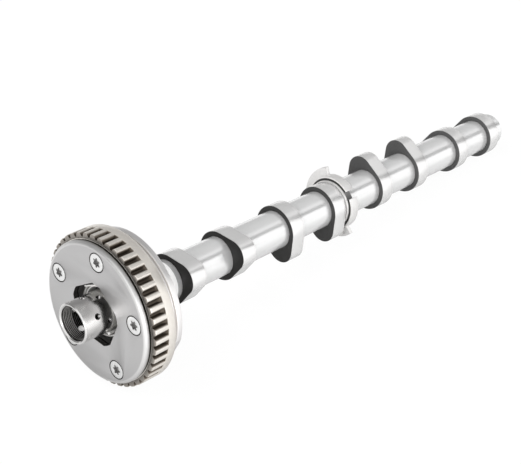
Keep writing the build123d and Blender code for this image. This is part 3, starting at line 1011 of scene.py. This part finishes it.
@dataclass
class FrontCover(Webbed):
    """The round cover with its five-lobed opening and countersunk holes."""

    radius: float = 40.6
    front: float = 15.0
    rear: float = 18.5
    edge_width: float = 2.4
    edge_depth: float = 1.9
    eased: float = 0.16
    opening_radius: float = 18.3
    opening_flat: float = 16.5
    hole_radius: float = 3.1
    sink_radius: float = 5.5
    sink_angle: float = 41.0

    def build(self) -> None:
        """Turns the disc, cuts its opening and holes and eases the edges."""
        corner = [
            (self.radius - self.edge_width * (1 - out), self.front + self.edge_depth * back)
            for out, back in quarter(steps=8)
        ]
        cover = lathe([*corner, (self.radius, self.rear)], segments=256)
        cut(cover, [self._opening(), *self._sinks()])
        ease(cover, self.eased)
        hand_over(cover, "cover_disc", Body.HOUSING, Kind.COVER, ["front_cover"])

    def _opening(self) -> Piece:
        """The opening's shape: a drum with a flat midway between each two webs."""
        tool = self.through(self.opening_radius, segments=180)
        for angle in self.web_angles():
            slice_off(tool, self.opening_flat, angle + 180.0 / self.web_count)
        return tool

    def _sinks(self) -> list[Piece]:
        """One tool for each countersunk hole."""
        depth = (self.sink_radius - self.hole_radius) / math.tan(math.radians(self.sink_angle))
        rows = [
            (self.sink_radius, self.front - OVER), (self.sink_radius, self.front),
            (self.hole_radius, self.front + depth), (self.hole_radius, self.rear + OVER),
        ]
        sink = shift(lathe(rows, segments=64), self.screw_circle, self.web_angle)
        return spread(sink, self.web_count)


@dataclass
class Screws(Webbed):
    """The five countersunk screws with six-lobed key recesses, through the whole housing."""

    head_radius: float = 5.1
    head_rim: float = 0.15
    head_wall: float = 0.4
    shank_radius: float = 3.0
    point: float = 0.5
    eased: float = 0.12
    sharp: float = 40.0
    key_radius: float = 2.4
    key_wave: float = 0.5
    key_lobes: int = 6
    key_depth: float = 1.8

    def build(self) -> None:
        """Makes one screw and copies it round the cover."""
        drop = self.front + self.head_radius - self.shank_radius + self.head_wall
        rows = [
            (self.head_radius - self.head_rim, self.front),
            (self.head_radius, self.front + self.head_rim),
            (self.head_radius, self.front + self.head_wall),
            (self.shank_radius, drop), (self.shank_radius, self.rear - self.point),
            (self.shank_radius - self.point, self.rear),
        ]
        screw = lathe(rows, segments=72)
        cut(screw, [self._key()])
        ease(screw, self.eased, limit=self.sharp)
        shift(screw, self.screw_circle, self.web_angle)
        screws = joined(spread(screw, self.web_count))
        hand_over(screws, "key_screws", Body.HOUSING, Kind.SCREW, ["cover_screws"])

    def _key(self) -> Piece:
        """The key recess's shape: a drum whose wall waves in and out."""
        tool = drum(self.key_radius, self.front - OVER, self.front + self.key_depth)
        for vertex in tool.data.vertices:
            turn = math.atan2(vertex.co.y, vertex.co.x)
            share = 1 + self.key_wave / self.key_radius * math.cos(self.key_lobes * turn)
            vertex.co.x *= share
            vertex.co.y *= share
        return tool


@dataclass
class Sprocket(Webbed):
    """The toothed ring: a turned blank, one rounded tooth copied round it, and its chambers."""

    tip_radius: float = 44.2
    root_radius: float = 41.8
    land_radius: float = 39.6
    front: float = 18.5
    tooth_front: float = 19.1
    tooth_end: float = 25.0
    shoulder: float = 28.0
    shoulder_end: float = 32.5
    shoulder_edge: tuple[Row, ...] = ((0.5, 0.75), (1.2, 1.1))
    rear: float = 34.6
    eased: float = 0.18
    tooth_count: int = 45
    tip_share: float = 0.45
    root_share: float = 0.85
    tooth_sunk: float = 0.4
    tooth_overrun: float = 0.5
    crest_round: float = 1.05
    chamber_radius: float = 36.0
    web_tip_radius: float = 22.4
    web_half: float = 12.5
    screw_hole: float = 3.3
    groove_depth: float = 3.0
    groove_width: float = 1.7

    def build(self) -> None:
        """Makes the ring and its teeth in one piece."""
        ring = self._ring()
        ease(ring, self.eased)
        sprocket = joined([ring, *spread(self._tooth(), self.tooth_count)])
        hand_over(sprocket, "toothed_ring", Body.HOUSING, Kind.SPROCKET, ["sprocket_ring"])

    def _ring(self) -> Piece:
        """Turns the blank with the cutter's run-out and opens the chambers in it."""
        depth = self.tip_radius - self.root_radius
        runout = self.shoulder - self.tooth_end
        scoop = [
            (self.root_radius + depth * rise, self.tooth_end + runout * back)
            for back, rise in quarter(steps=6)[1:]
        ]
        edge = [
            (self.tip_radius - drop, self.shoulder_end + back) for drop, back in self.shoulder_edge
        ]
        rows = [
            (self.web_tip_radius, self.front), (self.land_radius, self.front),
            (self.land_radius, self.tooth_front), (self.root_radius, self.tooth_front),
            (self.root_radius, self.tooth_end), *scoop, (self.tip_radius, self.shoulder_end),
            *edge, (self.land_radius, edge[-1][1]), (self.land_radius, self.rear),
            (self.web_tip_radius, self.rear), (self.web_tip_radius, self.front),
        ]
        ring = lathe(rows, segments=256)
        tools = spread(self._chamber(), self.web_count)
        for angle in self.web_angles():
            tools += [self._groove(angle), self.hole(self.screw_hole, angle)]
        cut(ring, tools)
        return ring

    def _chamber(self) -> Piece:
        """The shape of one oil chamber: a sector between two webs."""
        tool = self.through(self.chamber_radius, segments=180)
        inner = self.web_tip_radius - OVER
        cut(tool, [drum(inner, self.front - 2 * OVER, self.rear + 2 * OVER)])
        low, high = self.web_angles()[:2]
        slice_off(tool, 0.0, low + self.web_half - 90.0)
        slice_off(tool, 0.0, high - self.web_half + 90.0)
        return tool

    def _groove(self, angle: float) -> Piece:
        """The shape of the seal groove in a web's tip."""
        length = 2 * self.groove_depth
        tool = block(length, self.groove_width, self.front - OVER, self.rear + OVER)
        return shift(tool, self.web_tip_radius, angle)

    def _tooth(self) -> Piece:
        """One tooth, its crest rounded lengthwise and its front end eased."""
        pitch = math.tau / self.tooth_count
        top = self.tip_radius * math.tan(pitch * self.tip_share / 2) * MM
        foot = self.root_radius * math.tan(pitch * self.root_share / 2) * MM
        low, high = (self.root_radius - self.tooth_sunk) * MM, self.tip_radius * MM
        front, rear = -self.tooth_front * MM, -(self.shoulder + self.tooth_overrun) * MM
        select_none()
        bpy.ops.mesh.primitive_cube_add()
        tooth = bpy.context.object
        for vertex in tooth.data.vertices:
            out, half = (high, top) if vertex.co.x > 0 else (low, foot)
            back = front if vertex.co.z > 0 else rear
            vertex.co = Vector((out, math.copysign(half, vertex.co.y), back))
        with editing(tooth, "DESELECT"):
            bpy.ops.mesh.select_mode(type="EDGE")
        for edge in tooth.data.edges:
            ends = [tooth.data.vertices[index].co for index in edge.vertices]
            crest = all(end.x > (low + high) / 2 for end in ends)
            edge.select = crest and any(end.z > (front + rear) / 2 for end in ends)
        bpy.ops.object.mode_set(mode="EDIT")
        bpy.ops.mesh.bevel(offset=self.crest_round * MM, segments=6)
        bpy.ops.mesh.select_mode(type="VERT")
        bpy.ops.object.mode_set(mode="OBJECT")
        with editing(tooth):
            bpy.ops.mesh.normals_make_consistent(inside=False)
        smooth(limit=35.0)
        return tooth


@dataclass
class RearCover(Webbed):
    """The rear cover, stepped down behind the sprocket, with one flat on its rim."""

    radius: float = 40.3
    step_radius: float = 38.7
    front: float = 34.6
    step: float = 37.3
    rear: float = 41.0
    rim: float = 0.5
    eased: float = 0.15
    flat: float = 38.9
    flat_angle: float = -53.0
    bore: float = 12.05
    screw_radius: float = 3.0
    pocket_circle: float = 27.8
    pocket_angle: float = 181.0
    pocket_radius: float = 4.8
    pocket_depth: float = 3.0

    def build(self) -> None:
        """Turns the cover, mills its flat, drills it and eases its edges."""
        rows = [
            (self.bore, self.front), (self.step_radius, self.front), (self.step_radius, self.step),
            (self.radius - self.rim, self.step), (self.radius, self.step + self.rim),
            (self.radius, self.rear - self.rim), (self.radius - self.rim, self.rear),
            (self.bore, self.rear), (self.bore, self.front),
        ]
        cover = lathe(rows, segments=256)
        slice_off(cover, self.flat, self.flat_angle)
        floor = self.front + self.pocket_depth
        pocket = drum(self.pocket_radius, self.front - OVER, floor, segments=64)
        shift(pocket, self.pocket_circle, self.pocket_angle)
        holes = [self.hole(self.screw_radius, angle) for angle in self.web_angles()]
        cut(cover, [pocket, *holes])
        ease(cover, self.eased)
        hand_over(cover, "back_disc", Body.HOUSING, Kind.COVER_REAR, ["rear_cover"])


@dataclass
class SensorRing:
    """The sensor ring, from its CAD shape with its edges rounded."""

    eased: float = 0.18

    def build(self) -> None:
        """Copies, merges and eases the ring."""
        ring = copy_of("sensor_ring")
        ease(ring, self.eased)
        hand_over(ring, "trigger_ring", Body.SHAFT, Kind.SENSOR, ["sensor_ring"])


@dataclass
class Mouth:
    """The valve thread and the key tongue in the mouth of the nose."""

    thread_radius: float = 9.9
    crest_radius: float = 9.3
    root_half: float = 0.48
    crest_half: float = 0.05
    thread_pitch: float = 1.0
    thread_turns: int = 6
    thread_start: float = 1.3
    tongue_angle: float = -6.0
    tongue_width: float = 1.3
    tongue_reach: float = 1.2
    tongue_sunk: float = 0.1
    tongue_front: float = 0.2
    tongue_end: float = 1.5
    tongue_round: float = 0.35

    def build(self) -> None:
        """Winds the thread and makes the tongue that stands in from the wall."""
        corners = [
            (self.thread_radius, -self.root_half), (self.thread_radius, self.root_half),
            (self.crest_radius, -self.crest_half), (self.crest_radius, self.crest_half),
        ]
        thread = wound(corners, self.thread_pitch, self.thread_turns, steps=64)
        set_back(thread, self.thread_start)
        hand_over(thread, "valve_thread", Body.SHAFT, Kind.THREAD)
        reach = self.thread_radius + self.tongue_sunk - self.tongue_reach / 2
        size = (self.tongue_reach, self.tongue_width, self.tongue_front, self.tongue_end)
        tongue = block(*size, reach)
        ease(tongue, self.tongue_round, segments=3)
        shift(tongue, 0.0, self.tongue_angle)
        hand_over(tongue, "nose_tongue", Body.SHAFT, Kind.THREAD)


@dataclass
class LockCoil:
    """The lock pin's coil spring, in place of its plain sleeve."""

    circle: float = 27.8
    angle: float = 181.0
    coil_radius: float = 1.8
    wire_radius: float = 0.3
    wire_corners: int = 10
    front: float = 20.65
    rear: float = 31.55
    turns: int = 6

    def build(self) -> None:
        """Winds the wire between the cap and the floor of the pin's bore."""
        angles = [math.tau * step / self.wire_corners for step in range(self.wire_corners)]
        wire = self.wire_radius
        corners = [(self.coil_radius + wire * math.cos(a), wire * math.sin(a)) for a in angles]
        pitch = (self.rear - self.front - 2 * wire) / self.turns
        piece = wound(corners, pitch, self.turns, steps=28)
        set_back(piece, self.front + wire)
        shift(piece, self.circle, self.angle)
        hand_over(piece, "lock_coil", Body.SHAFT, Kind.SPRING, ["lock_spring"])


@dataclass
class ReturnSpring:
    """The flat wound spring, held by the rotor at its inner end and the cover at its outer end."""

    inner_radius: float = 12.9
    outer_radius: float = 15.55
    inner_angle: float = 655.0
    outer_angle: float = 101.0
    leg_radius: float = 17.4
    leg_angle: float = 63.0
    overrun: float = 12.0
    eased: float = 0.12
    tang_end: float = 29.2
    leg_front: float = 16.2

    def build(self) -> None:
        """Copies and eases the spring, and mounts it on neither body, as both bodies hold it."""
        piece = copy_of("return_spring")
        ease(piece, self.eased)
        hand_over(piece, "wound_strip", None, Kind.SPRING, ["return_spring"])
        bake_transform(piece)


@dataclass
class Studio:
    """A white floor, soft lamps and the photograph's viewpoint. Lengths are in metres."""

    camera_place: Triple = (0.372377, -0.459026, 0.414548)
    camera_turn: Triple = (55.6195, -1.8488, 43.8023)
    lens: float = 76.59
    sensor: float = 36.0
    clip_start: float = 0.01
    floor_size: float = 8.0
    paper: Colour = (0.86, 0.86, 0.86)
    seen_share: float = 0.92
    mirrored_share: float = 0.7
    seen_level: float = 1.02
    floor_painted_shadow_level: float = 0.5
    open_level: float = 0.65
    painted_pool_level: float = 0.6
    shaft_half: float = 0.2
    open_reach: Row = (0.02, 0.16)
    open_front: Row = (-0.24, -0.17)
    carded_side: Row = (0.0, 0.1)
    carded_front: Row = (-0.25, -0.15)
    walls: tuple[Row, ...] = (
        (0.0, 0.78), (0.62, 0.78), (0.66, 0.05), (0.725, 0.05),
        (0.785, 0.5), (0.83, 0.46), (0.89, 0.26), (1.0, 0.26),
    )
    ledge_side: Triple = (-0.557, 0.371, 0.743)
    sky_strength: float = 1.5
    front_level: float = 0.22
    front_fade: Row = (0.0, 0.5)
    card_side: Triple = (0.82, -0.57, 0.0)
    card_level: float = 2.6
    card_fade: Row = (0.7, 0.9)
    card_top: Row = (0.15, 0.5)
    brow_side: Triple = (0.1, -0.8, 0.59)
    brow_level: float = 0.9
    brow_fade: Row = (0.8, 0.94)
    lamp_target: Triple = (0.0, 0.0, 0.04)
    lamps: tuple[tuple[str, Triple, float, float], ...] = (
        ("key", (-0.5, -0.9, 1.3), 1.1, 14.0),
        ("fill", (1.2, 0.6, 1.2), 1.2, 8.0),
    )

    def build(self) -> None:
        """Sets up the whole studio."""
        self._floor()
        self._world()
        self._lamps()
        self._camera()

    def _floor(self) -> None:
        """Lays the floor: white to the camera, with the object's own shadow on it."""
        select_none()
        bpy.ops.mesh.primitive_plane_add(size=self.floor_size)
        floor = bpy.context.object
        floor.name = "floor"
        material = bpy.data.materials.new("floor_paper")
        shader = Shader(material)
        camera, glossy, through = (
            shader.add("ShaderNodeLightPath", {}, output=name)
            for name in ("Is Camera Ray", "Is Glossy Ray", "Is Transmission Ray")
        )
        seen = camera * self.seen_share + glossy.larger(through) * self.mirrored_share
        paper = shader.add("ShaderNodeBsdfDiffuse", {}, self.paper)
        # to glossy and transmission rays the floor glows with a painted shadow under the object
        # and a painted pool of light
        strength = camera * self.seen_level + (1.0 - camera) * self._floor_painted_shadow_and_light(shader)
        glow = shader.add("ShaderNodeEmission", {}, (1.0, 1.0, 1.0), strength)
        shader.end(shader.add("ShaderNodeMixShader", {}, seen, paper, glow))
        floor.data.materials.append(material)

    def _floor_painted_shadow_and_light(self, shader: Shader) -> Wire:
        """Brightness that the floor shows to the metal, with painted shadow and painted light in
        it.

        Args:
            shader: The floor's shader.

        Returns:
            A painted shadow under the object, brighter away from it, and a painted pool of light
            before the card.
        """
        place = shader.add("ShaderNodeTexCoord", {}, output="Object")
        side = shader.dot(place, (1.0, 0.0, 0.0))
        along = shader.dot(place, (0.0, 1.0, 0.0))
        past = (along.abs() - self.shaft_half).larger(0.0)
        away = (side * side + past * past).root().fade(*self.open_reach)
        open_floor = away.larger(1.0 - along.fade(*self.open_front))
        # painted pool of light on the floor before the card
        painted_pool = side.fade(*self.carded_side) * (1.0 - along.fade(*self.carded_front))
        return self.floor_painted_shadow_level + open_floor * self.open_level + painted_pool * self.painted_pool_level

    def _world(self) -> None:
        """Gives the metal a grey room: a bright wall under a dark ledge, and two white cards."""
        world = bpy.data.worlds.new("soft_room")
        bpy.context.scene.world = world
        shader = Shader(world)
        direction = shader.add("ShaderNodeTexCoord", {}, output="Generated")
        stops = [(place, (level,) * 3) for place, level in self.walls]
        over = shader.dot(direction, self.ledge_side) * 0.5 + 0.5
        room = shader.add("ShaderNodeValToRGB", {"stops": stops}, over)
        front = shader.dot(direction, (0.0, -1.0, 0.0)).fade(*self.front_fade)
        room = shader.mix(front, room, (self.front_level,) * 3)
        low = 1.0 - shader.dot(direction, (0.0, 0.0, 1.0)).fade(*self.card_top)
        card = shader.dot(direction, self.card_side).fade(*self.card_fade) * low
        room = shader.mix(card, room, (self.card_level,) * 3)
        brow = shader.dot(direction, self.brow_side).fade(*self.brow_fade)
        room = shader.mix(brow, room, (self.brow_level,) * 3)
        camera = shader.add("ShaderNodeLightPath", {}, output="Is Camera Ray")
        colour = shader.mix(camera, room, (1.0 / self.sky_strength,) * 3)
        back = shader.add("ShaderNodeBackground", {}, colour, self.sky_strength)
        shader.end(back, "ShaderNodeOutputWorld")

    def _lamps(self) -> None:
        """Hangs the soft lamps."""
        for name, place, size, power in self.lamps:
            select_none()
            bpy.ops.object.light_add(type="AREA", location=place)
            lamp = bpy.context.object
            lamp.name = name
            lamp.data.size = size
            lamp.data.energy = power
            lamp.visible_glossy = False
            aim = Vector(self.lamp_target) - Vector(place)
            lamp.rotation_euler = aim.to_track_quat("-Z", "Y").to_euler()

    def _camera(self) -> None:
        """Places the camera where the photograph was taken from."""
        select_none()
        turn = Euler([math.radians(angle) for angle in self.camera_turn])
        bpy.ops.object.camera_add(location=self.camera_place, rotation=turn)
        camera = bpy.context.object
        camera.data.lens = self.lens
        camera.data.sensor_width = self.sensor
        camera.data.clip_start = self.clip_start
        bpy.context.scene.camera = camera
        bpy.context.scene.view_settings.view_transform = "Standard"


def main() -> None:
    """Builds the camshaft's looks round its CAD frame."""
    logging.basicConfig(level=logging.INFO, format="%(name)s: %(message)s")
    for part in (
        Studio(), Dressing(), Mouth(), Lobes(), SensorRing(), FrontCover(), Screws(), Sprocket(),
        RearCover(), LockCoil(), ReturnSpring(),
    ):
        part.build()


if __name__ == "__main__":
    main()
